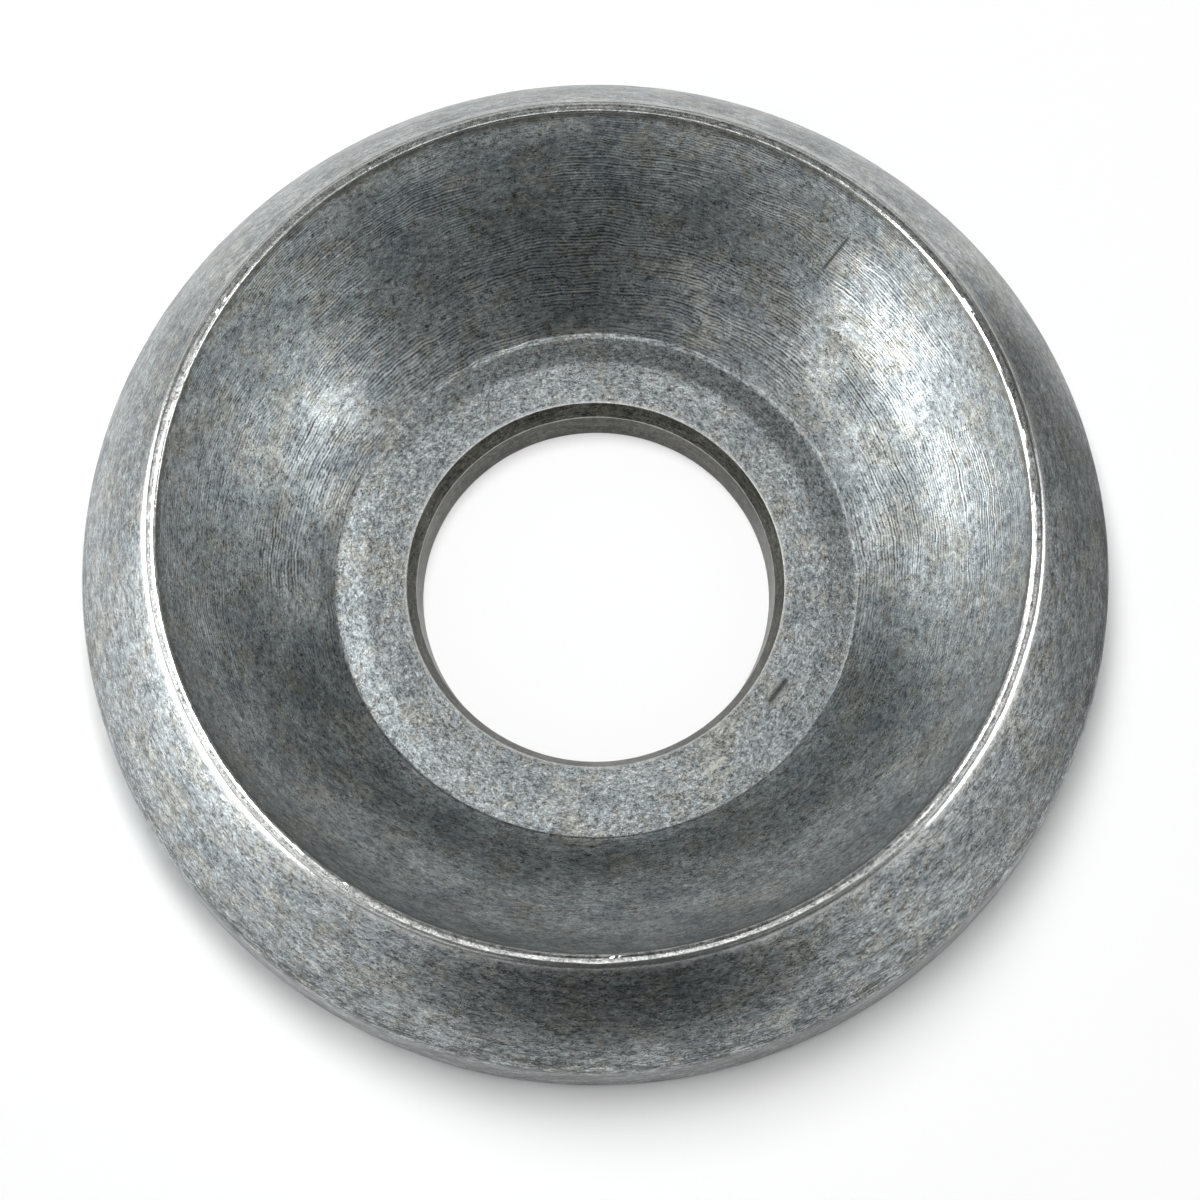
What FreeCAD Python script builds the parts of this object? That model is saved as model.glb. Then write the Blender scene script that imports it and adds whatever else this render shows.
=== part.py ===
import FreeCAD
import Part
import Sketcher
import math
import os
from enum import IntEnum

# Spherical washer: one turned steel ring, drawn as half of its section and revolved about +Z.
# Millimetres and degrees. The base face lies on the plane z = 0, and the origin is its centre.

# Driving dimensions. Lengths and diameters run to the sharp corners, before the edges are rounded.
SIZES = {
    # Outside: a base with a little draft, the widest edge, and a crowned shoulder up to the rim.
    "outer_diameter": 42.0,
    "overall_height": 10.5,
    "band_height": 3.85,
    "flank_draft": 5.0,
    "base_round": 0.8,
    "band_round": 2.0,
    "shoulder_radius": 30.0,
    # Rim: a narrow land at the top, set in from the widest edge.
    "rim_inset": 3.0,
    "rim_land": 0.22,
    "rim_round": 0.1,
    # Bore: a plain hole with a tapered lead-in.
    "bore_diameter": 14.2,
    "lead_in_width": 0.69,
    "lead_in_depth": 1.0,
    # Seat: a flat ring round the lead-in, then a slope down to the foot of the bowl.
    "seat_height": 2.25,
    "seat_flat_width": 1.71,
    "seat_slope_width": 1.2,
    "seat_drop": 0.22,
    "seat_round": 2.0,
    # Bowl: a zone of a sphere centred on the axis, from its foot at the seat up to the rim.
    "foot_round": 0.35,
}

# The rim's rounds take up at most this share of its land.
LAND_SHARE = 0.8

# An edge belongs to a corner of the section when its circle passes within this distance of it.
MATCH_TOLERANCE = 1e-4

RIGHT_ANGLE = 90


class Axis(IntEnum):
    """Index of each of a sketch's own axes."""

    HORIZONTAL = -1
    VERTICAL = -2


class Point(IntEnum):
    """Index of each point of a line or an arc."""

    START = 1
    END = 2
    CENTRE = 3


# The sketch's origin is where its horizontal axis starts.
ORIGIN = (Axis.HORIZONTAL, Point.START)

# The section's edges, each with the corners where it starts and ends.
# Arcs run anticlockwise, so the bowl is listed from its foot up to the rim.
EDGES = {
    "base": ("bore_foot", "base_edge"),
    "flank": ("base_edge", "band_edge"),
    "shoulder": ("band_edge", "rim_outer"),
    "land": ("rim_outer", "rim_inner"),
    "bowl": ("bowl_foot", "rim_inner"),
    "seat_slope": ("bowl_foot", "seat_edge"),
    "seat_flat": ("seat_edge", "lead_in_mouth"),
    "lead_in": ("lead_in_mouth", "bore_mouth"),
    "bore": ("bore_mouth", "bore_foot"),
}


def make_sheet(doc):
    """Write the driving dimensions into a sheet, one alias to a row."""
    sheet = doc.addObject("Spreadsheet::Sheet", "Sizes")
    for row, (name, value) in enumerate(SIZES.items(), start=1):
        sheet.set(f"A{row}", name)
        sheet.set(f"B{row}", str(value))
        sheet.setAlias(f"B{row}", name)
    doc.recompute()
    return sheet


def origin_plane(body, role):
    """Return the body's own origin plane that has this role."""
    for feature in body.Origin.OriginFeatures:
        if feature.Role == role:
            return feature
    raise RuntimeError(f"the body has no plane {role}")


def corner_points(sheet):
    """Return where each corner of the section lies: x is its distance from the axis, y its height."""
    widest = sheet.outer_diameter / 2
    draft = math.radians(sheet.flank_draft)
    rim = widest - sheet.rim_inset
    bore = sheet.bore_diameter / 2
    lead_in = bore + sheet.lead_in_width
    seat = lead_in + sheet.seat_flat_width
    corners = {
        "bore_foot": (bore, 0),
        "base_edge": (widest - sheet.band_height * math.tan(draft), 0),
        "band_edge": (widest, sheet.band_height),
        "rim_outer": (rim, sheet.overall_height),
        "rim_inner": (rim - sheet.rim_land, sheet.overall_height),
        "bowl_foot": (seat + sheet.seat_slope_width, sheet.seat_height - sheet.seat_drop),
        "seat_edge": (seat, sheet.seat_height),
        "lead_in_mouth": (lead_in, sheet.seat_height),
        "bore_mouth": (bore, sheet.seat_height - sheet.lead_in_depth),
    }
    return {name: FreeCAD.Vector(across, up, 0) for name, (across, up) in corners.items()}


def shoulder_centre(start, end, radius):
    """Return the centre of the shoulder's arc, which lies inside the ring."""
    chord = end - start
    half = chord.Length / 2
    inward = FreeCAD.Vector(-chord.y, chord.x, 0).normalize()
    return start + chord / 2 + inward * math.sqrt(radius ** 2 - half ** 2)


def bowl_centre(foot, rim):
    """Return the centre of the bowl's arc: the point of the axis as far from both of its ends."""
    height = (rim.dot(rim) - foot.dot(foot)) / (2 * (rim.y - foot.y))
    return FreeCAD.Vector(0, height, 0)


def arc_about(centre, start, end):
    """Return the anticlockwise arc about a centre from one point to another."""
    from_centre = start - centre
    to_end = end - centre
    circle = Part.Circle(centre, FreeCAD.Vector(0, 0, 1), from_centre.Length)
    first = math.atan2(from_centre.y, from_centre.x)
    last = math.atan2(to_end.y, to_end.x)
    return Part.ArcOfCircle(circle, first, last)


def draw_outline(sketch, sheet, points):
    """Draw the closed half-section and return each edge's index in the sketch."""
    indices = {}
    for name, (first, last) in EDGES.items():
        start = points[first]
        end = points[last]
        if name == "shoulder":
            shape = arc_about(shoulder_centre(start, end, sheet.shoulder_radius), start, end)
        elif name == "bowl":
            shape = arc_about(bowl_centre(start, end), start, end)
        else:
            shape = Part.LineSegment(start, end)
        indices[name] = sketch.addGeometry(shape, False)
    return indices


def corner_ends(indices):
    """Return, for each corner, the edges that meet there and which end of each does."""
    ends = {}
    for name, (first, last) in EDGES.items():
        ends.setdefault(first, []).append((indices[name], Point.START))
        ends.setdefault(last, []).append((indices[name], Point.END))
    return ends


def bind(sketch, name, expression, kind, *where):
    """Add a measured constraint and tie it to the sheet."""
    index = sketch.addConstraint(Sketcher.Constraint(kind, *where))
    sketch.renameConstraint(index, name)
    sketch.setExpression(f"Constraints.{name}", expression)


def constrain_outline(sketch, sheet, indices, points):
    """Close the outline, give its lines their directions and bind its sizes to the sheet."""
    ends = corner_ends(indices)
    for (one, one_end), (other, other_end) in ends.values():
        sketch.addConstraint(Sketcher.Constraint("Coincident", one, one_end, other, other_end))
    for name in ("base", "land", "seat_flat"):
        sketch.addConstraint(Sketcher.Constraint("Horizontal", indices[name]))
    sketch.addConstraint(Sketcher.Constraint("Vertical", indices["bore"]))
    sketch.addConstraint(Sketcher.Constraint("PointOnObject", indices["base"], Point.START, Axis.HORIZONTAL))
    sketch.addConstraint(Sketcher.Constraint("PointOnObject", indices["bowl"], Point.CENTRE, Axis.VERTICAL))

    def out_to(corner, expression):
        distance = points[corner].x
        bind(sketch, f"{corner}_out", expression, "DistanceX", *ORIGIN, *ends[corner][0], distance)

    def up_to(corner, expression):
        distance = points[corner].y
        bind(sketch, f"{corner}_up", expression, "DistanceY", *ORIGIN, *ends[corner][0], distance)

    def wide(alias, inner, outer):
        distance = points[outer].x - points[inner].x
        bind(sketch, alias, f"Sizes.{alias}", "DistanceX", *ends[inner][0], *ends[outer][0], distance)

    def high(alias, lower, upper):
        distance = points[upper].y - points[lower].y
        bind(sketch, alias, f"Sizes.{alias}", "DistanceY", *ends[lower][0], *ends[upper][0], distance)

    out_to("band_edge", "Sizes.outer_diameter / 2")
    up_to("band_edge", "Sizes.band_height")
    slope = f"({RIGHT_ANGLE} - Sizes.flank_draft) * 1 deg"
    slope_angle = math.radians(RIGHT_ANGLE - sheet.flank_draft)
    bind(sketch, "draft", slope, "Angle", indices["flank"], slope_angle)
    bind(sketch, "crown", "Sizes.shoulder_radius", "Radius", indices["shoulder"], sheet.shoulder_radius)
    up_to("rim_inner", "Sizes.overall_height")
    wide("rim_inset", "rim_outer", "band_edge")
    wide("rim_land", "rim_inner", "rim_outer")
    out_to("bore_foot", "Sizes.bore_diameter / 2")
    wide("lead_in_width", "bore_mouth", "lead_in_mouth")
    high("lead_in_depth", "bore_mouth", "lead_in_mouth")
    up_to("seat_edge", "Sizes.seat_height")
    wide("seat_flat_width", "lead_in_mouth", "seat_edge")
    wide("seat_slope_width", "seat_edge", "bowl_foot")
    high("seat_drop", "bowl_foot", "seat_edge")


def corner_circle(feature, point):
    """Return the name of the feature's circular edge that passes through a corner of the section."""
    for number, edge in enumerate(feature.Shape.Edges, start=1):
        curve = edge.Curve
        if not isinstance(curve, Part.Circle) or not edge.isClosed():
            continue
        if math.hypot(curve.Radius - point.x, curve.Center.z - point.y) < MATCH_TOLERANCE:
            return f"Edge{number}"
    raise RuntimeError(f"no edge of {feature.Label} has radius {point.x} at height {point.y}")


def round_corners(doc, body, before, name, corners, expression, points):
    """Round the edges at these corners of the section, with a radius from the sheet."""
    fillet = body.newObject("PartDesign::Fillet", name)
    fillet.Base = (before, [corner_circle(before, points[corner]) for corner in corners])
    fillet.setExpression("Radius", expression)
    doc.recompute()
    return fillet


def make_washer(doc, sheet):
    """Build the washer: the revolved section, then its rounded edges."""
    body = doc.addObject("PartDesign::Body", "Washer")
    body.Label = "washer_body"
    sketch = body.newObject("Sketcher::SketchObject", "HalfSection")
    sketch.AttachmentSupport = [(origin_plane(body, "XZ_Plane"), "")]
    sketch.MapMode = "FlatFace"
    points = corner_points(sheet)
    indices = draw_outline(sketch, sheet, points)
    constrain_outline(sketch, sheet, indices, points)
    doc.recompute()

    ring = body.newObject("PartDesign::Revolution", "Ring")
    ring.Profile = sketch
    ring.ReferenceAxis = (sketch, ["V_Axis"])
    ring.Angle = 360
    doc.recompute()

    rim_round = f"min(Sizes.rim_round; Sizes.rim_land * {LAND_SHARE})"
    rounds = [
        ("BaseRound", ["base_edge"], "Sizes.base_round"),
        ("BandRound", ["band_edge"], "Sizes.band_round"),
        ("RimRound", ["rim_outer", "rim_inner"], rim_round),
        ("FootRound", ["bowl_foot"], "Sizes.foot_round"),
        ("SeatRound", ["seat_edge"], "Sizes.seat_round"),
    ]
    latest = ring
    for name, corners, expression in rounds:
        latest = round_corners(doc, body, latest, name, corners, expression, points)
    body.Tip = latest
    body.Placement = FreeCAD.Placement()
    doc.recompute()
    return body


def check(doc, parts):
    """Stop if any object failed, or if a part is not one sound solid."""
    for item in doc.Objects:
        if "Invalid" in item.State or "Error" in item.State:
            raise RuntimeError(f"{item.Name} failed: {item.State}")
    for part in parts:
        shape = part.Shape
        if shape.isNull() or not shape.isValid():
            raise RuntimeError(f"{part.Label} has no valid shape")
        if len(shape.Solids) != 1:
            raise RuntimeError(f"{part.Label} has {len(shape.Solids)} solids instead of one")


def main():
    """Build the document, check it and write each part's shape to a file of its own."""
    doc = FreeCAD.newDocument("SphericalWasher")
    sheet = make_sheet(doc)
    parts = [make_washer(doc, sheet)]
    check(doc, parts)
    os.makedirs("parts", exist_ok=True)
    for part in parts:
        part.Shape.exportStep(os.path.join("parts", f"{part.Label}.step"))
        box = part.Shape.optimalBoundingBox(False, False)
        print(f"{part.Label}: {box.XLength:.3f} x {box.YLength:.3f} x {box.ZLength:.3f} mm")
        print(f"{part.Label}: volume {part.Shape.Volume:.1f} mm3, {len(part.Shape.Faces)} faces")


main()
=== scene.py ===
import logging
import math
import random
from dataclasses import dataclass, field
from enum import Enum
from functools import cached_property

import bpy
import numpy as np
from bpy.types import ID, Material, Node, NodeInputs, NodeOutputs, NodeSocket, NodeTree, Object
from mathutils import Matrix, Vector, noise


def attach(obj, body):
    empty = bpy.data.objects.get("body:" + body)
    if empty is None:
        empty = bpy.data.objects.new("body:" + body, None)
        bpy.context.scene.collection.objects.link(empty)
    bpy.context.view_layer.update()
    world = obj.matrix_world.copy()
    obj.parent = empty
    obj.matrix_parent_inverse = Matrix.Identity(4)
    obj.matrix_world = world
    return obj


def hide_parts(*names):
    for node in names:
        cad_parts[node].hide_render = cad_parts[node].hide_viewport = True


# A spherical washer: one turned, zinc-coated steel ring with a hollow spherical bowl.
# The section's sizes are in millimetres, and meshes, lights and the camera are in metres.
# The base face lies on z = 0, and the washer's axis is the Z axis.

MM = 0.001
NODE = "washer_body"

log = logging.getLogger("spherical_washer")
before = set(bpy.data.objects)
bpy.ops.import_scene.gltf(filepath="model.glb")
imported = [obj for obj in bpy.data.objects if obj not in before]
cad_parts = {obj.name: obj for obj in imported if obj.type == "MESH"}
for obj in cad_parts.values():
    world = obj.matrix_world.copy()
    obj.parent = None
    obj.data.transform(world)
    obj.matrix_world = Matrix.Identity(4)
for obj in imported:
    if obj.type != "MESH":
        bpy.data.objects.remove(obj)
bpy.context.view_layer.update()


def put(name: str, data: ID) -> Object:
    """Put a new object into the scene.

    Args:
        name: Its name.
        data: The mesh, light or camera that it holds.

    Returns:
        The object.
    """
    made = bpy.data.objects.new(name, data)
    bpy.context.scene.collection.objects.link(made)
    return made


class Zone(Enum):
    """The turned surfaces of the washer, each with a finish of its own."""

    BASE = "base"
    OUTSIDE = "outside"
    RIM = "rim"
    BOWL = "bowl"
    SEAT = "seat"
    BORE = "bore"


@dataclass(frozen=True)
class Run:
    """One straight or round stretch of the section, from one corner to the next.

    Attributes:
        start: Where it begins: x is the distance from the axis and y the height, in millimetres.
        end: Where it ends.
        zone: The surface that it belongs to.
        step: The distance between rings of the mesh along it, in millimetres.
        corner: The radius of the corner at its end, in millimetres.
        worn: Whether that corner wears bright.
        centre: The centre of a round stretch, or None for a straight one.
    """

    start: Vector
    end: Vector
    zone: Zone
    step: float
    corner: float
    worn: bool = False
    centre: Vector | None = None

    def turn(self) -> float:
        """Return the angle that a round stretch turns through, anticlockwise, in radians."""
        return -(self.start - self.centre).angle_signed(self.end - self.centre)

    def length(self) -> float:
        """Return the length of the stretch in millimetres.

        Returns:
            The length of the straight line or of the arc.
        """
        if self.centre is None:
            return (self.end - self.start).length
        return abs(self.turn()) * (self.start - self.centre).length

    def at(self, distance: float) -> Vector:
        """Return the point of the stretch that lies this far along it.

        Args:
            distance: Millimetres from the start.

        Returns:
            The point, in the section's plane.
        """
        share = distance / self.length()
        if self.centre is None:
            return self.start.lerp(self.end, share)
        arm = self.start - self.centre
        angle = self.turn() * share
        across = arm.x * math.cos(angle) - arm.y * math.sin(angle)
        up = arm.x * math.sin(angle) + arm.y * math.cos(angle)
        return self.centre + Vector((across, up))


@dataclass(frozen=True)
class Section:
    """Half of the washer's section, in millimetres, measured to its sharp corners."""

    outer_radius: float = 21.0
    overall_height: float = 10.5
    band_height: float = 3.85
    flank_draft: float = math.radians(5.0)
    base_round: float = 0.8
    band_round: float = 2.0
    shoulder_radius: float = 30.0
    rim_inset: float = 2.92
    rim_land: float = 0.42
    crest_round: float = 0.6
    rim_round: float = 0.12
    bore_radius: float = 7.1
    bore_flare: float = 0.24
    lead_in_width: float = 0.40
    lead_in_depth: float = 0.75
    seat_height: float = 2.25
    seat_flat_width: float = 1.76
    seat_slope_width: float = 1.2
    seat_drop: float = 0.22
    seat_round: float = 2.0
    foot_round: float = 0.35
    edge_break: float = 0.05

    def corners(self) -> dict[str, Vector]:
        """Place the sharp corners.

        Returns:
            The distance of each from the axis, and its height.
        """
        rim = self.outer_radius - self.rim_inset
        mouth = self.bore_radius + self.bore_flare
        lead_in = mouth + self.lead_in_width
        seat = lead_in + self.seat_flat_width
        base = self.outer_radius - self.band_height * math.tan(self.flank_draft)
        foot_height = self.seat_height - self.seat_drop
        return {
            "bore_foot": Vector((self.bore_radius, 0.0)),
            "base_edge": Vector((base, 0.0)),
            "band_edge": Vector((self.outer_radius, self.band_height)),
            "rim_outer": Vector((rim, self.overall_height)),
            "rim_inner": Vector((rim - self.rim_land, self.overall_height)),
            "bowl_foot": Vector((seat + self.seat_slope_width, foot_height)),
            "seat_edge": Vector((seat, self.seat_height)),
            "lead_in_mouth": Vector((lead_in, self.seat_height)),
            "bore_mouth": Vector((mouth, self.seat_height - self.lead_in_depth)),
        }

    def shoulder_centre(self) -> Vector:
        """Find the centre of the crowned shoulder.

        Returns:
            The centre, which lies inside the ring.
        """
        corners = self.corners()
        chord = corners["rim_outer"] - corners["band_edge"]
        inward = Vector((-chord.y, chord.x)).normalized()
        reach = math.sqrt(self.shoulder_radius ** 2 - (chord.length / 2) ** 2)
        return corners["band_edge"] + chord / 2 + inward * reach

    def bowl_centre(self) -> Vector:
        """Find the centre of the spherical bowl.

        Returns:
            The point on the axis that is as far from the bowl's foot as from its rim.
        """
        corners = self.corners()
        foot = corners["bowl_foot"]
        rim = corners["rim_inner"]
        height = (rim.length_squared - foot.length_squared) / (2 * (rim.y - foot.y))
        return Vector((0.0, height))

    def runs(self) -> list[Run]:
        """Return the stretches of the section.

        Returns:
            The stretches in order, from the bore round the outside and back.
        """
        at = self.corners()
        edge = self.edge_break
        return [
            Run(at["bore_foot"], at["base_edge"], Zone.BASE, step=1.4, corner=self.base_round),
            Run(at["base_edge"], at["band_edge"], Zone.OUTSIDE, step=0.25, corner=self.band_round),
            Run(at["band_edge"], at["rim_outer"], Zone.OUTSIDE, step=0.32, corner=self.crest_round,
                worn=True, centre=self.shoulder_centre()),
            Run(at["rim_outer"], at["rim_inner"], Zone.RIM, step=0.05, corner=self.rim_round,
                worn=True),
            Run(at["rim_inner"], at["bowl_foot"], Zone.BOWL, step=0.4, corner=self.foot_round,
                centre=self.bowl_centre()),
            Run(at["bowl_foot"], at["seat_edge"], Zone.SEAT, step=0.16, corner=self.seat_round),
            Run(at["seat_edge"], at["lead_in_mouth"], Zone.SEAT, step=0.3, corner=edge, worn=True),
            Run(at["lead_in_mouth"], at["bore_mouth"], Zone.BORE, step=0.3, corner=edge, worn=True),
            Run(at["bore_mouth"], at["bore_foot"], Zone.BORE, step=0.3, corner=edge),
        ]


@dataclass
class Outline:
    """The section as rings of the mesh: a closed row of points with rounded corners.

    Attributes:
        points: The rings' places in the section's plane, in millimetres.
        zones: The surface of the strip that starts at each ring.
        along: How far along the section each ring lies, in millimetres.
        edges: How far along it each worn edge lies.
    """

    points: np.ndarray
    zones: list[Zone]
    along: np.ndarray
    edges: list[float]

    @classmethod
    def of(cls, section: Section, corner_steps: int = 5) -> "Outline":
        """Sample a section, with its corners rounded.

        Args:
            section: The section with its sharp corners.
            corner_steps: How many strips make each rounded corner.

        Returns:
            The closed row of rings.
        """
        runs = section.runs()
        follow = runs[1:] + runs[:1]
        cuts = [cls.cut_back(run, following) for run, following in zip(runs, follow)]
        rings, worn = [], []
        for index, (run, following) in enumerate(zip(runs, follow)):
            first = cuts[index - 1]
            last = run.length() - cuts[index]
            count = max(1, round((last - first) / run.step))
            for step in range(count + 1):
                rings.append((run.at(first + (last - first) * step / count), run.zone))
            leave = run.at(last)
            arrive = following.at(cuts[index])
            for step in range(1, corner_steps):
                share = step / corner_steps
                bend = leave.lerp(run.end, share).lerp(run.end.lerp(arrive, share), share)
                rings.append((bend, run.zone if share < 0.5 else following.zone))
            if run.worn:
                worn.append(len(rings))
        points, zones = zip(*rings)
        steps = [(after - before).length for before, after in zip(points, points[1:])]
        along = np.cumsum([0.0] + steps)
        edges = [(along[end - 1] + along[end - corner_steps]) / 2 for end in worn]
        return cls(np.array([tuple(point) for point in points]), list(zones), along, edges)

    @staticmethod
    def cut_back(run: Run, following: Run, nudge: float = 0.01) -> float:
        """Find how far from a corner its rounding starts.

        Args:
            run: The stretch that ends at the corner.
            following: The stretch that starts there.
            nudge: How far from the corner their directions are taken, in millimetres.

        Returns:
            The distance along both stretches, in millimetres.
        """
        arriving = run.end - run.at(run.length() - nudge)
        leaving = following.at(nudge) - following.start
        return run.corner * math.tan(arriving.angle(leaving) / 2)


@dataclass
class TurnedBody:
    """The washer's one piece: a turned ring, lathed from its section and then worn.

    Attributes:
        section: The sizes of the section.
        segments: How many faces go round the ring.
        seed: The seed of its nicks.
        nick_count: How many nicks the rim has.
        nick_scatter: How far they stray from the middle of the rim, in millimetres.
        nick_length: The shortest and the longest of them, in millimetres.
        nick_width: The narrowest and the widest of them, in millimetres.
        nick_depth: How deep the deepest of them is, in millimetres.
        nick_shallow: The least draw for a nick's depth, which is squared.
        bump_height: The depth of the surface's slow waves, in millimetres.
        bump_size: How long those waves are, in millimetres.
        inset: How far the whole surface lies inside the ideal one, in millimetres.
    """

    section: Section = field(default_factory=Section)
    segments: int = 680
    seed: int = 17
    nick_count: int = 140
    nick_scatter: float = 0.16
    nick_length: tuple[float, float] = (0.3, 0.9)
    nick_width: tuple[float, float] = (0.06, 0.22)
    nick_depth: float = 0.02
    nick_shallow: float = 0.2
    bump_height: float = 0.012
    bump_size: float = 2.2
    inset: float = 0.002

    def nicks(self, outline: Outline) -> list[tuple[float, float, float, float, float]]:
        """Scatter the small nicks along both edges of the rim.

        Args:
            outline: The rings of the section.

        Returns:
            The bearing of each, anticlockwise from +X in degrees, and in millimetres its place
            along the section, its length round the washer, its width along the section and its
            depth.
        """
        dice = random.Random(self.seed)
        rim = [along for along, zone in zip(outline.along, outline.zones) if zone is Zone.RIM]
        middle = (rim[0] + rim[-1]) / 2
        return [
            (dice.uniform(0, 360), middle + dice.gauss(0, self.nick_scatter),
             dice.uniform(*self.nick_length), dice.uniform(*self.nick_width),
             self.nick_depth * dice.uniform(self.nick_shallow, 1.0) ** 2)
            for _ in range(self.nick_count)
        ]

    def relief(self, outline: Outline, grid: np.ndarray) -> np.ndarray:
        """Work out how far each point of the mesh is sunk below the ideal turned surface.

        Args:
            outline: The rings of the section.
            grid: The ideal points, rings by segments by three, in millimetres.

        Returns:
            The depths, rings by segments, in millimetres.
        """
        waves = [noise.noise(Vector(spot) / self.bump_size) for spot in grid.reshape(-1, 3)]
        depth = 0.5 + 0.5 * np.array(waves).reshape(grid.shape[:2])
        depth = depth * self.bump_height + self.inset
        bearings = np.degrees(np.arange(self.segments) * 2 * math.pi / self.segments)
        for bearing, place, length, width, deep in self.nicks(outline):
            swing = (bearings - bearing + 180) % 360 - 180
            round_way = np.radians(swing)[None, :] * outline.points[:, :1] / length
            across = (outline.along[:, None] - place) / width
            depth += deep * np.exp(-round_way ** 2 - across ** 2)
        return depth

    @staticmethod
    def normals(points: np.ndarray) -> np.ndarray:
        """Work out the outward direction of the section at each ring.

        Args:
            points: The rings' places in the section's plane.

        Returns:
            One unit vector in that plane for each ring.
        """
        way = np.roll(points, -1, axis=0) - np.roll(points, 1, axis=0)
        outward = np.stack([way[:, 1], -way[:, 0]], axis=1)
        return outward / np.linalg.norm(outward, axis=1, keepdims=True)

    def lathe(self, across: np.ndarray, up: np.ndarray) -> np.ndarray:
        """Turn rings about the axis.

        Args:
            across: Their distances from the axis, one column or one for each segment.
            up: Their heights.

        Returns:
            The points, rings by segments by three.
        """
        angles = np.arange(self.segments) * 2 * math.pi / self.segments
        cosine = np.cos(angles)[None, :]
        sine = np.sin(angles)[None, :]
        return np.stack([across * cosine, across * sine, up + 0 * cosine], axis=2)

    def build(self) -> Object:
        """Lathe the mesh and measure its section.

        Returns:
            The washer, with two measures along its section as attributes.
        """
        outline = Outline.of(self.section)
        points = outline.points
        outward = self.normals(points)
        depth = self.relief(outline, self.lathe(points[:, :1], points[:, 1:]))
        grid = self.lathe(points[:, :1] - outward[:, :1] * depth,
                          points[:, 1:] - outward[:, 1:] * depth)
        grid[:, :, 2] = np.maximum(grid[:, :, 2], 0.0)

        rings = len(points)
        index = np.arange(rings * self.segments).reshape(rings, self.segments)
        beside = np.roll(index, -1, axis=1)
        faces = np.stack([index, beside, np.roll(beside, -1, axis=0), np.roll(index, -1, axis=0)],
                         axis=2)
        mesh = bpy.data.meshes.new("turned_washer")
        mesh.from_pydata((grid.reshape(-1, 3) * MM).tolist(), [], faces.reshape(-1, 4).tolist())
        mesh.update()
        mesh.shade_smooth()
        reach = [min(abs(along - edge) for edge in outline.edges) for along in outline.along]
        for name, values in (("section_mm", outline.along), ("edge_mm", reach)):
            measure = mesh.attributes.new(name, "FLOAT", "POINT")
            measure.data.foreach_set("value", np.repeat(values, self.segments).astype(np.float32))
        order = list(Zone)
        slots = [order.index(zone) for zone in outline.zones]
        mesh.polygons.foreach_set("material_index", np.repeat(slots, self.segments))
        return put("turned_washer", mesh)


@dataclass(frozen=True)
class Tone:
    """A colour of the coating or of the studio, as linear red, green and blue."""

    red: float
    green: float
    blue: float

    @classmethod
    def grey(cls, level: float) -> "Tone":
        """Return a grey of this level."""
        return cls(level, level, level)

    def rgba(self) -> tuple[float, float, float, float]:
        """Return the colour as a socket's value."""
        return (self.red, self.green, self.blue, 1.0)

    def times(self, level: float) -> "Tone":
        """Return the same colour, lighter or darker."""
        return Tone(self.red * level, self.green * level, self.blue * level)


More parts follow.
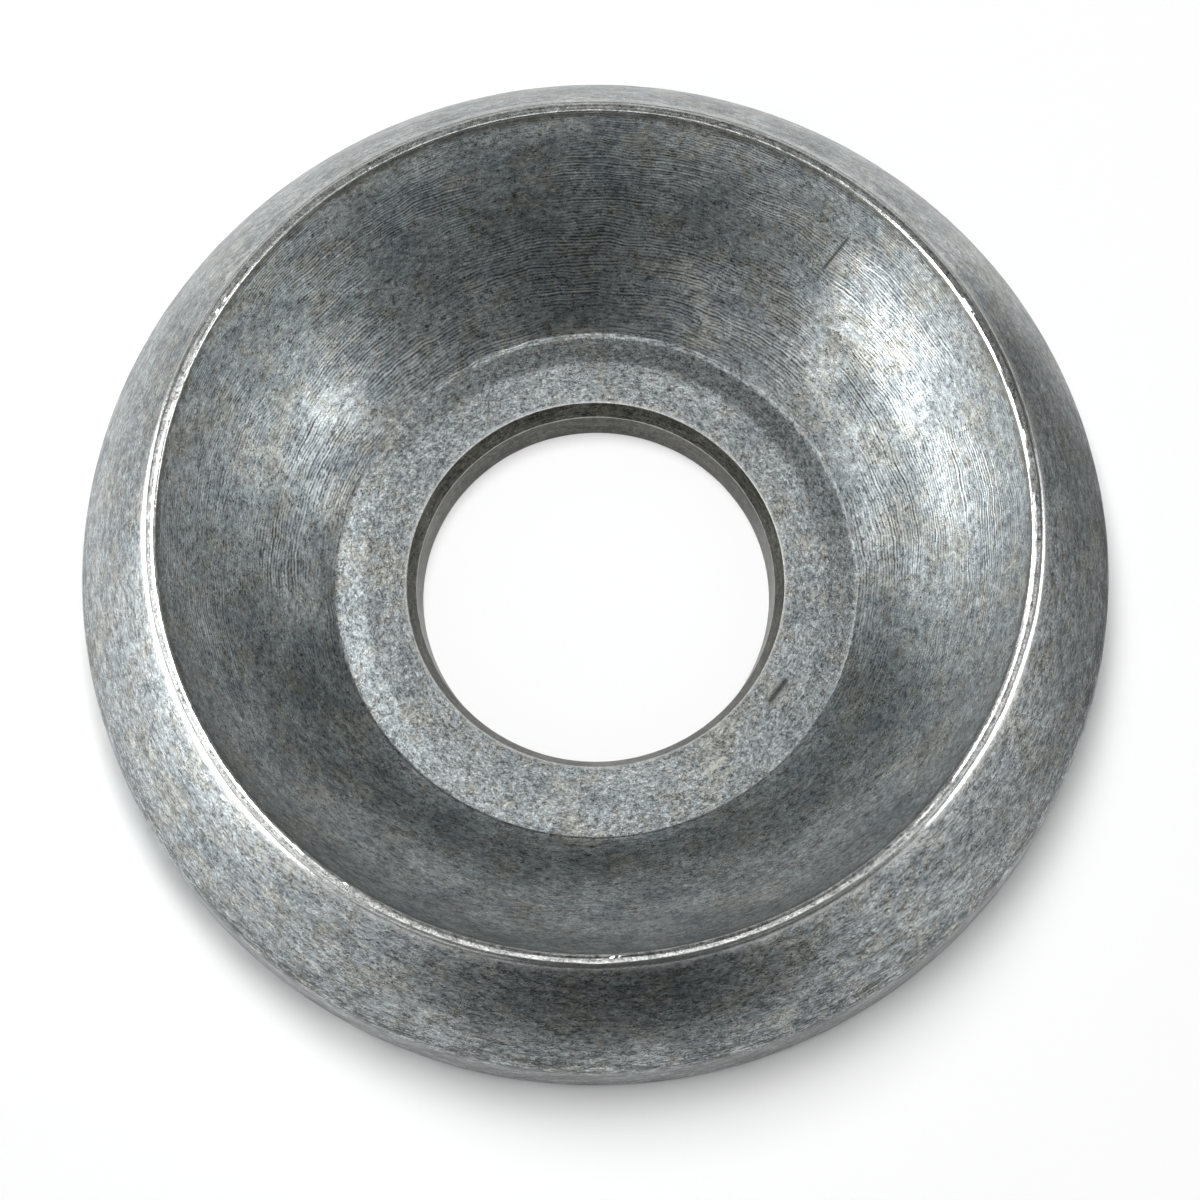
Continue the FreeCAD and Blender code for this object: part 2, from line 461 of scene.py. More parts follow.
@dataclass(frozen=True)
class Wiring:
    """A node tree with short ways to add and join its nodes."""

    tree: NodeTree

    def node(self, kind: str, feeds: dict[str | int, object] | None = None,
             **settings: object) -> Node:
        """Add a node.

        Args:
            kind: The node's type, without its ShaderNode prefix.
            feeds: What goes into its inputs, by their names or numbers.
            settings: The properties to set on it.

        Returns:
            The new node.
        """
        made = self.tree.nodes.new("ShaderNode" + kind)
        for name, value in settings.items():
            setattr(made, name, value)
        for name, value in (feeds or {}).items():
            self.feed(made.inputs[name], value)
        return made

    def feed(self, socket: NodeSocket, value: object) -> None:
        """Link a socket to another one, or set its value.

        Args:
            socket: The input socket.
            value: An output socket, a number, a vector or a colour.
        """
        if isinstance(value, NodeSocket):
            self.tree.links.new(value, socket)
        else:
            socket.default_value = value.rgba() if isinstance(value, Tone) else value

    def math(self, operation: str, *values: object, clamp: bool = False) -> NodeSocket:
        """Return the result of one step of arithmetic, held between 0 and 1 if it is clamped."""
        feeds = dict(enumerate(values))
        return self.node("Math", feeds, operation=operation, use_clamp=clamp).outputs[0]

    def centred(self, cloud: NodeSocket) -> NodeSocket:
        """Return a noise moved down by a half, so that it swings about 0."""
        return self.math("SUBTRACT", cloud, 0.5)

    def vector(self, operation: str, first: object, second: object = None) -> NodeSocket:
        """Add one step of vector arithmetic.

        Args:
            operation: The Vector Math node's operation.
            first: The first vector.
            second: The second vector, or the number to scale the first one by.

        Returns:
            The resulting vector, or the number that a dot product or a length gives.
        """
        feeds = {0: first}
        if second is not None:
            feeds["Scale" if operation == "SCALE" else 1] = second
        step = self.node("VectorMath", feeds, operation=operation)
        return step.outputs["Value" if operation in ("DOT_PRODUCT", "LENGTH") else "Vector"]

    def split(self, place: NodeSocket) -> NodeOutputs:
        """Return a place's three measures, under the names X, Y and Z."""
        return self.node("SeparateXYZ", {0: place}).outputs

    def rise(self, value: object, low: object, high: object) -> NodeSocket:
        """Return a smooth rise from 0 at one value to 1 at another."""
        feeds = {"Value": value, "From Min": low, "From Max": high}
        return self.node("MapRange", feeds, interpolation_type="SMOOTHSTEP").outputs["Result"]

    def fall(self, value: object, low: object, high: object) -> NodeSocket:
        """Return a smooth fall from 1 at one value to 0 at another."""
        return self.math("SUBTRACT", 1.0, self.rise(value, low, high))

    def blend(self, share: object, first: object, second: object) -> NodeSocket:
        """Mix two colours.

        Args:
            share: How much of the second is in the result.
            first: The colour at 0.
            second: The colour at 1.

        Returns:
            The colour between them.
        """
        mix = self.node("Mix", data_type="RGBA")
        for name, given in (("Factor_Float", share), ("A_Color", first), ("B_Color", second)):
            socket = next(item for item in mix.inputs if item.identifier == name)
            self.feed(socket, given)
        return next(item for item in mix.outputs if item.identifier == "Result_Color")

    def cloud(self, place: NodeSocket, size: object, detail: float = 2.0, roughness: float = 0.5,
              distortion: float = 0.0) -> NodeSocket:
        """Add a soft noise.

        Args:
            place: The place in space, in millimetres.
            size: The size of its patches, in millimetres.
            detail: How many finer layers it has.
            roughness: How strong those are.
            distortion: How much its shapes curl.

        Returns:
            The noise, which swings about a half.
        """
        scale = self.math("DIVIDE", 1.0, size) if isinstance(size, NodeSocket) else 1.0 / size
        feeds = {"Vector": place, "Scale": scale, "Detail": detail, "Roughness": roughness,
                 "Distortion": distortion}
        return self.node("TexNoise", feeds).outputs["Fac"]


class Socket(Enum):
    """The kinds of socket that the effects have."""

    NUMBER = "NodeSocketFloat"
    VECTOR = "NodeSocketVector"
    COLOUR = "NodeSocketColor"


# The kind of each named socket of an effect that isn't a plain number.
SOCKETS = {"Place": Socket.VECTOR, "Start": Socket.VECTOR, "Way": Socket.VECTOR,
           "Dull": Socket.COLOUR, "Bright": Socket.COLOUR, "Warm": Socket.COLOUR,
           "Color": Socket.COLOUR}

# Patches: how far aside the warm tint's noise is taken, and the part of it that shows.
TINT_ASIDE = (31.0, 17.0, 5.0)
TINT_SHOWN = (0.46, 0.62)

# Grain: the gain of the mottle, and how its light and dark strokes lie, curl, narrow and gather.
MOTTLE_GAIN = 11.0
STROKES_ASIDE = ((9.0, 4.0, 13.0), (-6.0, 21.0, 3.0))
STROKE_CURL = 1.4
STROKE_NARROWING = 17.0
STROKE_GATHERING = 2.2
STROKES_SHOWN = (0.38, 0.56)

# Turning: how the rings wander, how even and how loose they are, and where they show and fade.
WANDER_SIZE = 2.6
WANDER_TURNS = 5.0
EVEN_GAIN = 0.8
LOOSE_TURNS = 0.7
LOOSE_GAIN = 5.0
RINGS_SHOWN = (0.36, 0.58)
RINGS_FADE = (-8.0, 1.0)
RINGS_AT_FRONT = 0.2

# Specks: their spacing, the smallest and how much the others exceed it, and their strength.
SPECK_SPACING = 0.55
SPECK_SMALLEST = 0.08
SPECK_EXCESS = 0.16
SPECK_STRENGTH = 0.7

# The share of a speck or a scratch that is fully dark.
CORE = 0.4

# Wear: how coarse and how strong its ragged border is, and how far the band of painted shade
# reaches past it.
WEAR_PATCH = 0.5
WEAR_SWING = 3.2
EDGE_SHADE_REACH = 4.0

# Scratches: how ragged they are, their least share of the width, and their strength.
SCRATCH_SWING = 0.4
SCRATCH_LEAST = 0.3
SCRATCH_STRENGTH = 0.85


class EffectLibrary:
    """The effects that more than one finish uses, each a node group built when first asked for."""

    @staticmethod
    def start(name: str, inputs: tuple[str, ...], outputs: tuple[str, ...]
              ) -> tuple[Wiring, NodeOutputs, NodeInputs]:
        """Begin a node group.

        Args:
            name: Its name.
            inputs: The names of its inputs.
            outputs: The names of its outputs.

        Returns:
            The group's wiring, what it is given, and where its results go.
        """
        tree = bpy.data.node_groups.new(name, "ShaderNodeTree")
        for side, names in (("INPUT", inputs), ("OUTPUT", outputs)):
            for label in names:
                kind = SOCKETS.get(label, Socket.NUMBER)
                tree.interface.new_socket(label, in_out=side, socket_type=kind.value)
        given = tree.nodes.new("NodeGroupInput").outputs
        return Wiring(tree), given, tree.nodes.new("NodeGroupOutput").inputs

    @cached_property
    def patches(self) -> NodeTree:
        """The clouded tones of a zinc coating: dull and bright patches, some with a warm tint."""
        wiring, given, result = self.start(
            "zinc_patches", ("Place", "Size", "Contrast", "Dull", "Bright", "Warm", "Warmth"),
            ("Color", "Cloud"))
        place = given["Place"]
        cloud = wiring.cloud(place, given["Size"], detail=4.0, roughness=0.74)
        centred = wiring.centred(cloud)
        share = wiring.math("MULTIPLY_ADD", centred, given["Contrast"], 0.5, clamp=True)
        tone = wiring.blend(share, given["Dull"], given["Bright"])
        aside = wiring.vector("ADD", place, TINT_ASIDE)
        tint = wiring.cloud(aside, given["Size"], detail=3.0, roughness=0.9)
        warm = wiring.math("MULTIPLY", wiring.rise(tint, *TINT_SHOWN), given["Warmth"])
        wiring.feed(result["Color"], wiring.blend(warm, tone, given["Warm"]))
        wiring.feed(result["Cloud"], cloud)
        return wiring.tree

    @cached_property
    def grain(self) -> NodeTree:
        """The fine grain of a rubbed coating: a close mottle with short curled strokes over it."""
        wiring, given, result = self.start(
            "rubbed_grain", ("Place", "Size", "Strokes"), ("Level", "Height"))
        place = given["Place"]
        size = given["Size"]
        fine = wiring.cloud(place, size, detail=3.0, roughness=0.85)
        mottle = wiring.math("MULTIPLY", wiring.centred(fine), MOTTLE_GAIN)
        strokes = []
        for shift in STROKES_ASIDE:
            aside = wiring.vector("ADD", place, shift)
            curl = wiring.cloud(aside, size, detail=1.0, distortion=STROKE_CURL)
            away = wiring.math("ABSOLUTE", wiring.centred(curl))
            line = wiring.math("MULTIPLY_ADD", away, -STROKE_NARROWING, 1.0, clamp=True)
            gate = wiring.cloud(aside, wiring.math("MULTIPLY", size, STROKE_GATHERING), detail=1.0)
            strokes.append(wiring.math("MULTIPLY", line, wiring.rise(gate, *STROKES_SHOWN)))
        drawn = wiring.math("MULTIPLY", wiring.math("SUBTRACT", *strokes), given["Strokes"])
        wiring.feed(result["Level"], wiring.math("ADD", mottle, drawn))
        wiring.feed(result["Height"], mottle)
        return wiring.tree

    @cached_property
    def turning(self) -> NodeTree:
        """The fine rings that a turning tool leaves, which wander and fade round the washer."""
        wiring, given, result = self.start(
            "turning_rings", ("Place", "Along", "Pitch", "Patch"), ("Level",))
        place = given["Place"]
        turns = wiring.math("DIVIDE", given["Along"], given["Pitch"])
        wander = wiring.cloud(place, WANDER_SIZE, detail=2.0, roughness=0.6)
        phase = wiring.math("MULTIPLY_ADD", wander, WANDER_TURNS, turns)
        wave = wiring.math("SINE", wiring.math("MULTIPLY", phase, math.tau))
        line = wiring.node("CombineXYZ", {"Z": phase}).outputs[0]
        loose = wiring.cloud(line, LOOSE_TURNS, detail=1.0, roughness=0.8)
        uneven = wiring.math("MULTIPLY", wiring.centred(loose), LOOSE_GAIN)
        both = wiring.math("MULTIPLY_ADD", wave, EVEN_GAIN, uneven)
        patch = wiring.cloud(place, given["Patch"], detail=1.0, roughness=0.6)
        backward = wiring.rise(wiring.split(place)["Y"], *RINGS_FADE)
        fade = wiring.math("MULTIPLY_ADD", backward, 1.0 - RINGS_AT_FRONT, RINGS_AT_FRONT)
        shown = wiring.math("MULTIPLY", wiring.rise(patch, *RINGS_SHOWN), fade)
        wiring.feed(result["Level"], wiring.math("MULTIPLY", both, shown))
        return wiring.tree

    @cached_property
    def specks(self) -> NodeTree:
        """Small pits with dark bottoms."""
        wiring, given, result = self.start("dark_specks", ("Place", "Share"), ("Mask",))
        feeds = {"Vector": given["Place"], "Scale": 1 / SPECK_SPACING}
        cells = wiring.node("TexVoronoi", feeds).outputs
        pick = wiring.node("SeparateColor", {0: cells["Color"]}).outputs
        chosen = wiring.math("LESS_THAN", pick[0], given["Share"])
        size = wiring.math("MULTIPLY_ADD", pick[1], SPECK_EXCESS, SPECK_SMALLEST)
        spot = wiring.fall(cells["Distance"], wiring.math("MULTIPLY", size, CORE), size)
        wiring.feed(result["Mask"], wiring.math("MULTIPLY", spot, chosen))
        return wiring.tree

    @cached_property
    def wear(self) -> NodeTree:
        """The bright wear beside an edge, with a ragged border, and a band of painted shade past
        it.
        """
        wiring, given, result = self.start(
            "edge_wear_and_shade", ("Place", "Edge", "Width"), ("Mask", "EdgeShade"))
        ragged = wiring.cloud(given["Place"], WEAR_PATCH, detail=3.0, roughness=0.75)
        swing = wiring.math("MULTIPLY", wiring.centred(ragged), WEAR_SWING)
        width = wiring.math("MULTIPLY", given["Width"], wiring.math("ADD", 1.0, swing))
        edge = given["Edge"]
        past = wiring.rise(edge, 0.0, width)
        # Painted shade: the band just past the worn edge stands in for a dark reflection there.
        beside = wiring.fall(edge, width, wiring.math("MULTIPLY", width, EDGE_SHADE_REACH))
        wiring.feed(result["Mask"], wiring.math("SUBTRACT", 1.0, past))
        wiring.feed(result["EdgeShade"], wiring.math("MULTIPLY", past, beside))
        return wiring.tree

    @cached_property
    def scratch(self) -> NodeTree:
        """One straight mark from one place to another, with a ragged border."""
        wiring, given, result = self.start(
            "single_scratch", ("Place", "Start", "Way", "Width", "Ragged"), ("Mask",))
        way = given["Way"]
        reach = wiring.vector("SUBTRACT", given["Place"], given["Start"])
        along = wiring.vector("DOT_PRODUCT", reach, way)
        share = wiring.math("DIVIDE", along, wiring.vector("DOT_PRODUCT", way, way), clamp=True)
        nearest = wiring.vector("SCALE", way, share)
        away = wiring.vector("LENGTH", wiring.vector("SUBTRACT", reach, nearest))
        swing = wiring.math("MULTIPLY_ADD", given["Ragged"], SCRATCH_SWING, 1.0)
        swing = wiring.math("MAXIMUM", swing, SCRATCH_LEAST)
        width = wiring.math("MULTIPLY", given["Width"], swing)
        mask = wiring.fall(away, wiring.math("MULTIPLY", width, CORE), width)
        wiring.feed(result["Mask"], mask)
        return wiring.tree


@dataclass(frozen=True)
class Mark:
    """One mark that stands out on the washer.

    Attributes:
        start: Where it begins, in millimetres.
        way: How far it runs from there, in millimetres.
        width: Half its width, in millimetres.
        tone: Its colour.
    """

    start: tuple[float, float, float]
    way: tuple[float, float, float]
    width: float
    tone: Tone


@dataclass(frozen=True)
class Grain:
    """Fine rubbed grain.

    Attributes:
        size: The length of its marks across the turning, in millimetres.
        stretch: How many times longer they are round the washer.
        strokes: How strong its curled strokes are beside the close mottle.
        contrast: How much it changes the tone.
        depth: How deep it is, in millimetres.
    """

    size: float = 0.16
    stretch: float = 1.3
    strokes: float = 3.8
    contrast: float = 0.28
    depth: float = 0.0004


@dataclass(frozen=True)
class Rings:
    """Fine turning rings.

    Attributes:
        pitch: The distance between them, in millimetres.
        patch: The size of the patches where they show, in millimetres.
        contrast: How much they change the tone.
        depth: How deep they are, in millimetres.
    """

    pitch: float = 0.19
    patch: float = 3.5
    contrast: float = 0.1
    depth: float = 0.0015


@dataclass(frozen=True)
class Coat:
    """A material in the making, with the places that its effects need.

    Attributes:
        wiring: The material's wiring.
        effects: Where its node groups come from.
        place: The place in space, in millimetres.
        along: The distance along the section, in millimetres.
        edge: The distance from the nearest worn edge, in millimetres.
    """

    wiring: Wiring
    effects: EffectLibrary
    place: NodeSocket
    along: NodeSocket
    edge: NodeSocket

    @classmethod
    def on(cls, tree: NodeTree, effects: EffectLibrary) -> "Coat":
        """Begin a coat.

        Args:
            tree: The material's empty node tree.
            effects: Where its node groups come from.

        Returns:
            The coat, with its places wired.
        """
        wiring = Wiring(tree)
        place = wiring.vector("SCALE", wiring.node("TexCoord").outputs["Object"], 1 / MM)
        along, edge = (wiring.node("Attribute", attribute_name=name).outputs["Fac"]
                       for name in ("section_mm", "edge_mm"))
        return cls(wiring, effects, place, along, edge)

    def effect(self, group: NodeTree, **values: object) -> NodeOutputs:
        """Place an effect at the coat's own place, or at one given, and return its outputs."""
        feeds = {"Place": self.place, **values}
        return self.wiring.node("Group", feeds, node_tree=group).outputs

    def rubbed(self, grain: Grain) -> NodeOutputs:
        """Place rubbed grain whose marks come out longer round the washer than across it.

        Args:
            grain: The grain's sizes.

        Returns:
            What the grain puts out.
        """
        parts = self.wiring.split(self.place)
        feeds = {side: self.wiring.math("DIVIDE", parts[side], grain.stretch) for side in "XY"}
        drawn_out = self.wiring.node("CombineXYZ", {**feeds, "Z": self.along}).outputs[0]
        return self.effect(self.effects.grain, Place=drawn_out, Size=grain.size,
                           Strokes=grain.strokes)


# What every zinc finish shares: its darkest share of a tone, the tone of the painted shade past a
# worn edge, the tones under and on the coating, how softly the streaks end, in millimetres, and how
# much glossier its clouds and worn edges are.
DARKEST = 0.25
EDGE_SHADE_TONE = Tone(0.30, 0.27, 0.21)
WORN_TONE = Tone(0.74, 0.74, 0.72)
PIT_TONE = Tone.grey(0.03)
STREAK_END = 1.0
CLOUD_GLOSS = 0.2
WORN_GLOSS = 0.12


@dataclass(frozen=True)
class ZincFinish:
    """The finish of one surface of the washer, as a metal under a worn zinc coating.

    Attributes:
        name: The material's name.
        level: How light the coating is as a whole.
        dull: The dark tone of its patches, as a share of the level.
        bright: Their light tone.
        warm: The tone of its brownish patches.
        warmth: How much of that shows.
        patch_size: The size of its patches, in millimetres.
        contrast: How hard the patches are.
        grain: The fine grain all over it.
        streaks: Longer marks round the washer over the grain, or None.
        streak_top: The height in millimetres below which the streaks show.
        low_band_painted_shade: How much darker it is below that height, as painted shade.
        rings: The turning rings, or None.
        speck_share: The share of places that hold a dark pit.
        wear: How much of the coating is worn off at an edge.
        wear_width: How far the bright wear reaches from an edge, in millimetres.
        edge_painted_shade: How dark the brown band beside it is, as painted shade.
        roughness: How matt the metal is.
        marks: The single marks on it.
    """

    name: str
    level: float = 0.32
    dull: Tone = Tone(0.64, 0.72, 0.76)
    bright: Tone = Tone(1.20, 1.28, 1.29)
    warm: Tone = Tone(0.98, 0.92, 0.74)
    warmth: float = 0.4
    patch_size: float = 2.2
    contrast: float = 3.2
    grain: Grain = Grain()
    streaks: Grain | None = None
    streak_top: float = 20.0
    low_band_painted_shade: float = 0.0
    rings: Rings | None = None
    speck_share: float = 0.10
    wear: float = 0.75
    wear_width: float = 0.16
    edge_painted_shade: float = 0.0
    roughness: float = 0.34
    marks: tuple[Mark, ...] = ()

    def streaked(self, coat: Coat, level: NodeSocket) -> NodeSocket:
        """Lay the streaks over the low part of the surface, and darken it there as painted shade.

        Args:
            coat: The material in the making.
            level: How light the coating is without them.

        Returns:
            How light it is with them.
        """
        wiring = coat.wiring
        streaks = coat.rubbed(self.streaks)
        shown = wiring.fall(wiring.split(coat.place)["Z"], self.streak_top - STREAK_END,
                            self.streak_top + STREAK_END)
        # Painted shade: the coating is darker below the streaks' top, where the flank mirrors the
        # floor's shadow.
        level = wiring.math("MULTIPLY_ADD", shown, -self.low_band_painted_shade, level)
        streak = wiring.math("MULTIPLY", streaks["Level"], shown)
        return wiring.math("MULTIPLY_ADD", streak, self.streaks.contrast, level)

    def material(self, effects: EffectLibrary) -> Material:
        """Build the material.

        Args:
            effects: Where its node groups come from.

        Returns:
            The material.
        """
        made = bpy.data.materials.new(self.name)
        made.use_nodes = True
        made.node_tree.nodes.clear()
        coat = Coat.on(made.node_tree, effects)
        wiring = coat.wiring
        patches = coat.effect(
            effects.patches, Size=self.patch_size, Contrast=self.contrast,
            Dull=self.dull.times(self.level), Bright=self.bright.times(self.level),
            Warm=self.warm.times(self.level), Warmth=self.warmth)
        grain = coat.rubbed(self.grain)
        level = wiring.math("MULTIPLY_ADD", grain["Level"], self.grain.contrast, 1.0)
        height = wiring.math("MULTIPLY", grain["Height"], self.grain.depth)
        if self.streaks:
            level = self.streaked(coat, level)
        if self.rings:
            turned = coat.effect(effects.turning, Along=coat.along, Pitch=self.rings.pitch,
                                 Patch=self.rings.patch)["Level"]
            level = wiring.math("MULTIPLY_ADD", turned, self.rings.contrast, level)
            height = wiring.math("MULTIPLY_ADD", turned, self.rings.depth, height)
        specks = coat.effect(effects.specks, Share=self.speck_share)
        wear = coat.effect(effects.wear, Edge=coat.edge, Width=self.wear_width)

        held = wiring.math("MAXIMUM", level, DARKEST)
        colour = wiring.vector("SCALE", patches["Color"], held)
        # The first layer is painted shade: a dark brown band just past the worn edge.
        layers = ((wear["EdgeShade"], self.edge_painted_shade, EDGE_SHADE_TONE.times(self.level)),
                  (wear["Mask"], self.wear, WORN_TONE),
                  (specks["Mask"], SPECK_STRENGTH, PIT_TONE))
        for mask, strength, tone in layers:
            colour = wiring.blend(wiring.math("MULTIPLY", mask, strength), colour, tone)
        for mark in self.marks:
            mask = coat.effect(effects.scratch, Start=mark.start, Way=mark.way, Width=mark.width,
                               Ragged=grain["Level"])["Mask"]
            share = wiring.math("MULTIPLY", mask, SCRATCH_STRENGTH)
            colour = wiring.blend(share, colour, mark.tone)
        bump = wiring.node("Bump", {"Distance": MM, "Height": height})
        matt = wiring.math("MULTIPLY_ADD", patches["Cloud"], -CLOUD_GLOSS,
                           self.roughness + CLOUD_GLOSS / 2)
        shader = wiring.node("BsdfPrincipled", {
            "Metallic": 1.0, "Base Color": colour, "Normal": bump.outputs["Normal"],
            "Roughness": wiring.math("MULTIPLY_ADD", wear["Mask"], -WORN_GLOSS, matt)})
        wiring.node("OutputMaterial", {"Surface": shader.outputs["BSDF"]})
        return made


@dataclass
class Washer:
    """The whole washer: its one turned body with a finish for each surface."""

    body: TurnedBody = field(default_factory=TurnedBody)

    def finishes(self) -> dict[Zone, ZincFinish]:
        """List the finishes.

        Returns:
            The finish of each surface.
        """
        dark = Tone(0.05, 0.05, 0.045)
        light = Tone(0.72, 0.72, 0.66)
        return {
            Zone.BASE: ZincFinish("zinc_base", rings=Rings(pitch=0.35)),
            Zone.OUTSIDE: ZincFinish(
                "zinc_outside", level=0.26, grain=Grain(stretch=1.9, contrast=0.34),
                streaks=Grain(stretch=9.0, strokes=0.8, contrast=0.45), streak_top=4.8,
                # Painted shade below 4.8 mm, where the flank mirrors the floor's shadow.
                low_band_painted_shade=0.42, wear=0.5, wear_width=0.6),
            Zone.RIM: ZincFinish(
                "zinc_rim", level=0.54, dull=Tone(0.74, 0.76, 0.77), bright=Tone(1.12, 1.12, 1.10),
                warmth=0.1, patch_size=0.5, contrast=3.5, speck_share=0.25, wear_width=0.01,
                roughness=0.3),
            Zone.BOWL: ZincFinish(
                # Painted shade: a dark brown band just inside the rim.
                "zinc_bowl", grain=Grain(stretch=1.5, contrast=0.26), edge_painted_shade=0.7,
                rings=Rings(pitch=0.145, contrast=0.52, depth=0.002), wear=0.35,
                marks=(
                    Mark((-13.62, 1.2, 4.47), (0.02, -0.16, 0.0), 0.09, dark),
                    Mark((10.81, 12.57, 8.25), (-0.99, -0.69, -1.75), 0.07, dark),
                    Mark((16.48, -1.94, 8.27), (0.75, 0.52, 1.3), 0.035, light),
                )),
            Zone.SEAT: ZincFinish(
                "zinc_seat", level=0.42, grain=Grain(size=0.13, stretch=1.2, contrast=0.37),
                contrast=1.8, speck_share=0.2,
                marks=(
                    Mark((4.5, -8.0, 2.24), (0.42, 0.4, 0.0), 0.22, light),
                    Mark((7.62, -4.4, 2.24), (-0.65, -0.82, 0.0), 0.12, dark),
                )),
            Zone.BORE: ZincFinish(
                # Painted shade: the bore's level is far below the other surfaces', for the shade in
                # the hole.
                "zinc_bore_painted_shade", level=0.065, dull=Tone(0.7, 0.72, 0.62), bright=Tone(1.2, 1.22, 1.04),
                streaks=Grain(size=0.14, stretch=9.0, strokes=0.5, contrast=0.2), warmth=0.5,
                wear=0.4, wear_width=0.06),
        }

    def build(self) -> Object:
        """Build the body, dress it and join it to the frame.

        Returns:
            The washer.
        """
        washer = self.body.build()
        effects = EffectLibrary()
        finishes = self.finishes()
        for zone in Zone:
            washer.data.materials.append(finishes[zone].material(effects))
        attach(washer, "root")
        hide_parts(NODE)
        return washer


def sheet(name: str, corners: list[tuple[float, float]], level: float) -> Object:
    """Lay a flat sheet on the floor's plane.

    Args:
        name: The name of the sheet and of its material.
        corners: Its corners, anticlockwise, in metres.
        level: How light it is.

    Returns:
        The sheet, in a plain grey material.
    """
    mesh = bpy.data.meshes.new(name)
    mesh.from_pydata([(*corner, 0.0) for corner in corners], [], [list(range(len(corners)))])
    material = bpy.data.materials.new(name)
    material.use_nodes = True
    shader = material.node_tree.nodes["Principled BSDF"]
    shader.inputs["Base Color"].default_value = Tone.grey(level).rgba()
    mesh.materials.append(material)
    return put(name, mesh)


class Reach(Enum):
    """What a softbox lights: the metal, which mirrors it, or the floor with its shadow."""

    METAL = "metal"
    FLOOR = "floor"


@dataclass(frozen=True)
class Softbox:
    """A square studio light that faces the washer.

    Attributes:
        name: The light's name.
        bearing: Where it stands, anticlockwise from +X, in degrees.
        elevation: How high it stands above the floor, in degrees.
        across: How wide it looks from the washer, in degrees.
        upright: How tall it looks from there, in degrees.
        radiance: How bright its face looks, where 1 is white.
        reach: What it lights.
        distance: How far it is from the washer, in metres.
    """

    name: str
    bearing: float
    elevation: float
    across: float
    upright: float
    radiance: float
    reach: Reach = Reach.METAL
    distance: float = 0.6

    def build(self) -> None:
        """Make the light and aim it at the washer."""
        lamp = bpy.data.lights.new(self.name, "AREA")
        lamp.shape = "RECTANGLE"
        lamp.size, lamp.size_y = (2 * self.distance * math.tan(math.radians(angle / 2))
                                  for angle in (self.across, self.upright))
        lamp.energy = self.radiance * math.pi * lamp.size * lamp.size_y
        bearing = math.radians(self.bearing)
        elevation = math.radians(self.elevation)
        flat = math.cos(elevation)
        way = Vector((math.cos(bearing) * flat, math.sin(bearing) * flat, math.sin(elevation)))
        light = put(self.name, lamp)
        light.location = way * self.distance
        light.rotation_euler = (-way).to_track_quat("-Z", "Y").to_euler()
        light.visible_camera = False
        light.visible_diffuse = self.reach is Reach.FLOOR
        light.visible_glossy = self.reach is Reach.METAL


@dataclass(frozen=True)
class ShadeCard:
    """A darker card on the floor beside the washer, seen only where the metal mirrors it: painted
    shade in the metal's reflections.

    Attributes:
        name: Its name.
        left: Its left edge, in metres along X.
        right: Its right edge.
        near: Its front edge, in metres along Y.
        far: Its back edge.
        level: How light it is.
    """

    name: str
    left: float
    right: float
    near: float
    far: float
    level: float

    def build(self) -> None:
        """Lay the card on the floor."""
        card = sheet(self.name, [(self.left, self.near), (self.right, self.near),
                                 (self.right, self.far), (self.left, self.far)], self.level)
        card.visible_camera = False
        card.visible_diffuse = False
        card.visible_shadow = False


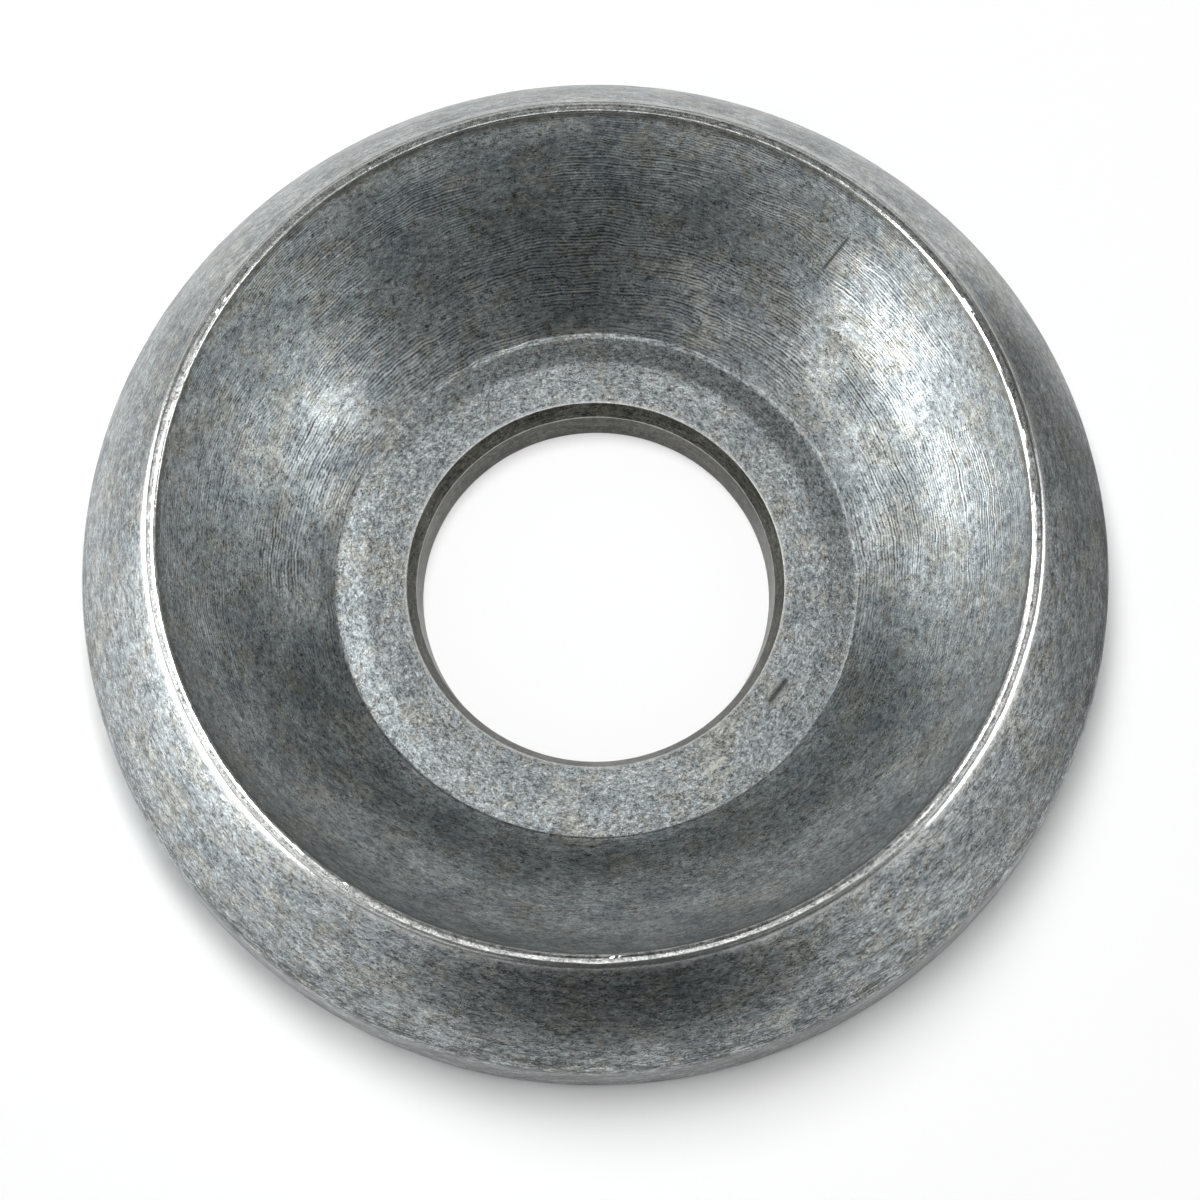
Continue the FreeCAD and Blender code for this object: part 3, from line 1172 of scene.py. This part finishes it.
@dataclass
class Studio:
    """The pale floor, the soft lights and the camera.

    The floor and the camera's distance are in metres, its angles in degrees, and its lens, sensor
    and aim in millimetres. The aim is measured from the origin, in the picture.
    """

    floor_radius: float = 3.0
    floor_drop: float = 0.00002
    floor_level: float = 0.92
    floor_roughness: float = 0.9
    floor_specular: float = 0.1
    floor_glow: float = 0.07
    world_level: float = 0.10
    camera_elevation: float = 74.26
    camera_distance: float = 0.4235
    camera_roll: float = 2.05
    focal_length: float = 308.4
    sensor_width: float = 36.0
    aim_right: float = 0.161
    aim_down: float = 0.062
    # The numbers are bearing, elevation, across, upright and radiance.
    softboxes: tuple[Softbox, ...] = (
        Softbox("floor_light", 105, 83, 18, 46, 11.95, reach=Reach.FLOOR),
        Softbox("left_strip", 188, 5, 46, 14, 49.0),
        Softbox("left_back_strip", 160, 6, 14, 16, 25.0),
        Softbox("left_high_box", 192, 43, 50, 14, 1.3),
        Softbox("right_high_box", 345, 48, 40, 16, 1.2),
        Softbox("left_box", 185, 16.5, 60, 13, 4.6),
        Softbox("right_strip", 350, 5, 40, 14, 11.0),
        Softbox("right_box", 345, 18, 30, 14, 4.4),
        Softbox("right_back_box", 15, 12, 16, 16, 2.1),
        Softbox("back_box", 90, 20, 90, 20, 0.86),
        Softbox("front_left_box", 237, 24, 26, 18, 0.8),
        Softbox("front_box", 310, 28, 40, 20, 0.22),
        Softbox("high_left", 162, 58, 38, 22, 2.0),
        Softbox("high_right", 20, 57, 26, 24, 0.45),
        Softbox("overhead", 90, 74, 24, 24, 0.7),
        Softbox("zenith", 270, 80, 40, 40, 0.48),
        Softbox("front_high_box", 270, 66, 50, 10, 2.4),
    )
    # The cards are painted shade in the metal's reflections: dark sheets that only mirrored rays
    # see.
    shade_cards: tuple[ShadeCard, ...] = (
        ShadeCard("front_card", left=-0.020, right=0.020, near=-0.090, far=-0.0287, level=0.03),
        ShadeCard("left_card", left=-0.100, right=-0.027, near=-0.040, far=0.030, level=0.35),
        ShadeCard("right_card", left=0.030, right=0.100, near=-0.009, far=0.030, level=0.3),
        ShadeCard("right_near_card", left=0.0225, right=0.030, near=-0.020, far=0.020, level=0.3),
    )

    def build_floor(self, turns: int = 96) -> None:
        """Make the floor disc, a hair under the washer, with its pale material and glow.

        Args:
            turns: How many corners it has.
        """
        angles = [math.tau * step / turns for step in range(turns)]
        rim = [(self.floor_radius * math.cos(angle), self.floor_radius * math.sin(angle))
               for angle in angles]
        floor = sheet("floor", rim, self.floor_level)
        floor.location.z = -self.floor_drop
        floor.active_material.name = "pale_floor"
        tree = floor.active_material.node_tree
        shader = tree.nodes["Principled BSDF"].inputs
        wiring = Wiring(tree)
        rays = wiring.node("LightPath").outputs
        seen = wiring.math("ADD", rays["Is Camera Ray"], rays["Is Glossy Ray"])
        seen = wiring.math("ADD", seen, rays["Is Transmission Ray"])
        feeds = {"Roughness": self.floor_roughness, "Specular IOR Level": self.floor_specular,
                 "Emission Color": Tone.grey(1.0),
                 "Emission Strength": wiring.math("MULTIPLY", seen, self.floor_glow)}
        for name, value in feeds.items():
            wiring.feed(shader[name], value)

    def build_world(self) -> None:
        """Make the dim room round the lights."""
        world = bpy.data.worlds.new("studio")
        world.use_nodes = True
        background = world.node_tree.nodes["Background"]
        background.inputs["Color"].default_value = Tone.grey(self.world_level).rgba()
        bpy.context.scene.world = world

    def build_camera(self) -> None:
        """Place the camera where the photograph was taken from."""
        elevation = math.radians(self.camera_elevation)
        roll = math.radians(self.camera_roll)
        back = Vector((0.0, -math.cos(elevation), math.sin(elevation)))
        level_right = Vector((1.0, 0.0, 0.0))
        level_up = back.cross(level_right)
        right = level_right * math.cos(roll) - level_up * math.sin(roll)
        up = level_right * math.sin(roll) + level_up * math.cos(roll)
        lens = bpy.data.cameras.new("camera")
        lens.lens = self.focal_length
        lens.sensor_width = self.sensor_width
        camera = put("camera", lens)
        turn = Matrix((right, up, back)).transposed().to_4x4()
        aim = right * self.aim_right * MM - up * self.aim_down * MM
        camera.matrix_world = Matrix.Translation(aim + back * self.camera_distance) @ turn
        bpy.context.scene.camera = camera

    def build(self) -> None:
        """Set up the whole studio."""
        self.build_floor()
        self.build_world()
        for item in self.shade_cards + self.softboxes:
            item.build()
        self.build_camera()
        bpy.context.scene.view_settings.view_transform = "Standard"


def main() -> None:
    """Build the washer and its studio, and report each piece."""
    logging.basicConfig(level=logging.INFO, format="%(name)s: %(message)s")
    washer = Washer().build()
    faces = len(washer.data.polygons)
    log.info("%s: %d faces, %d triangles", washer.name, faces, 2 * faces)
    Studio().build()
    log.info("studio: floor, world, softboxes and camera")


if __name__ == "__main__":
    main()
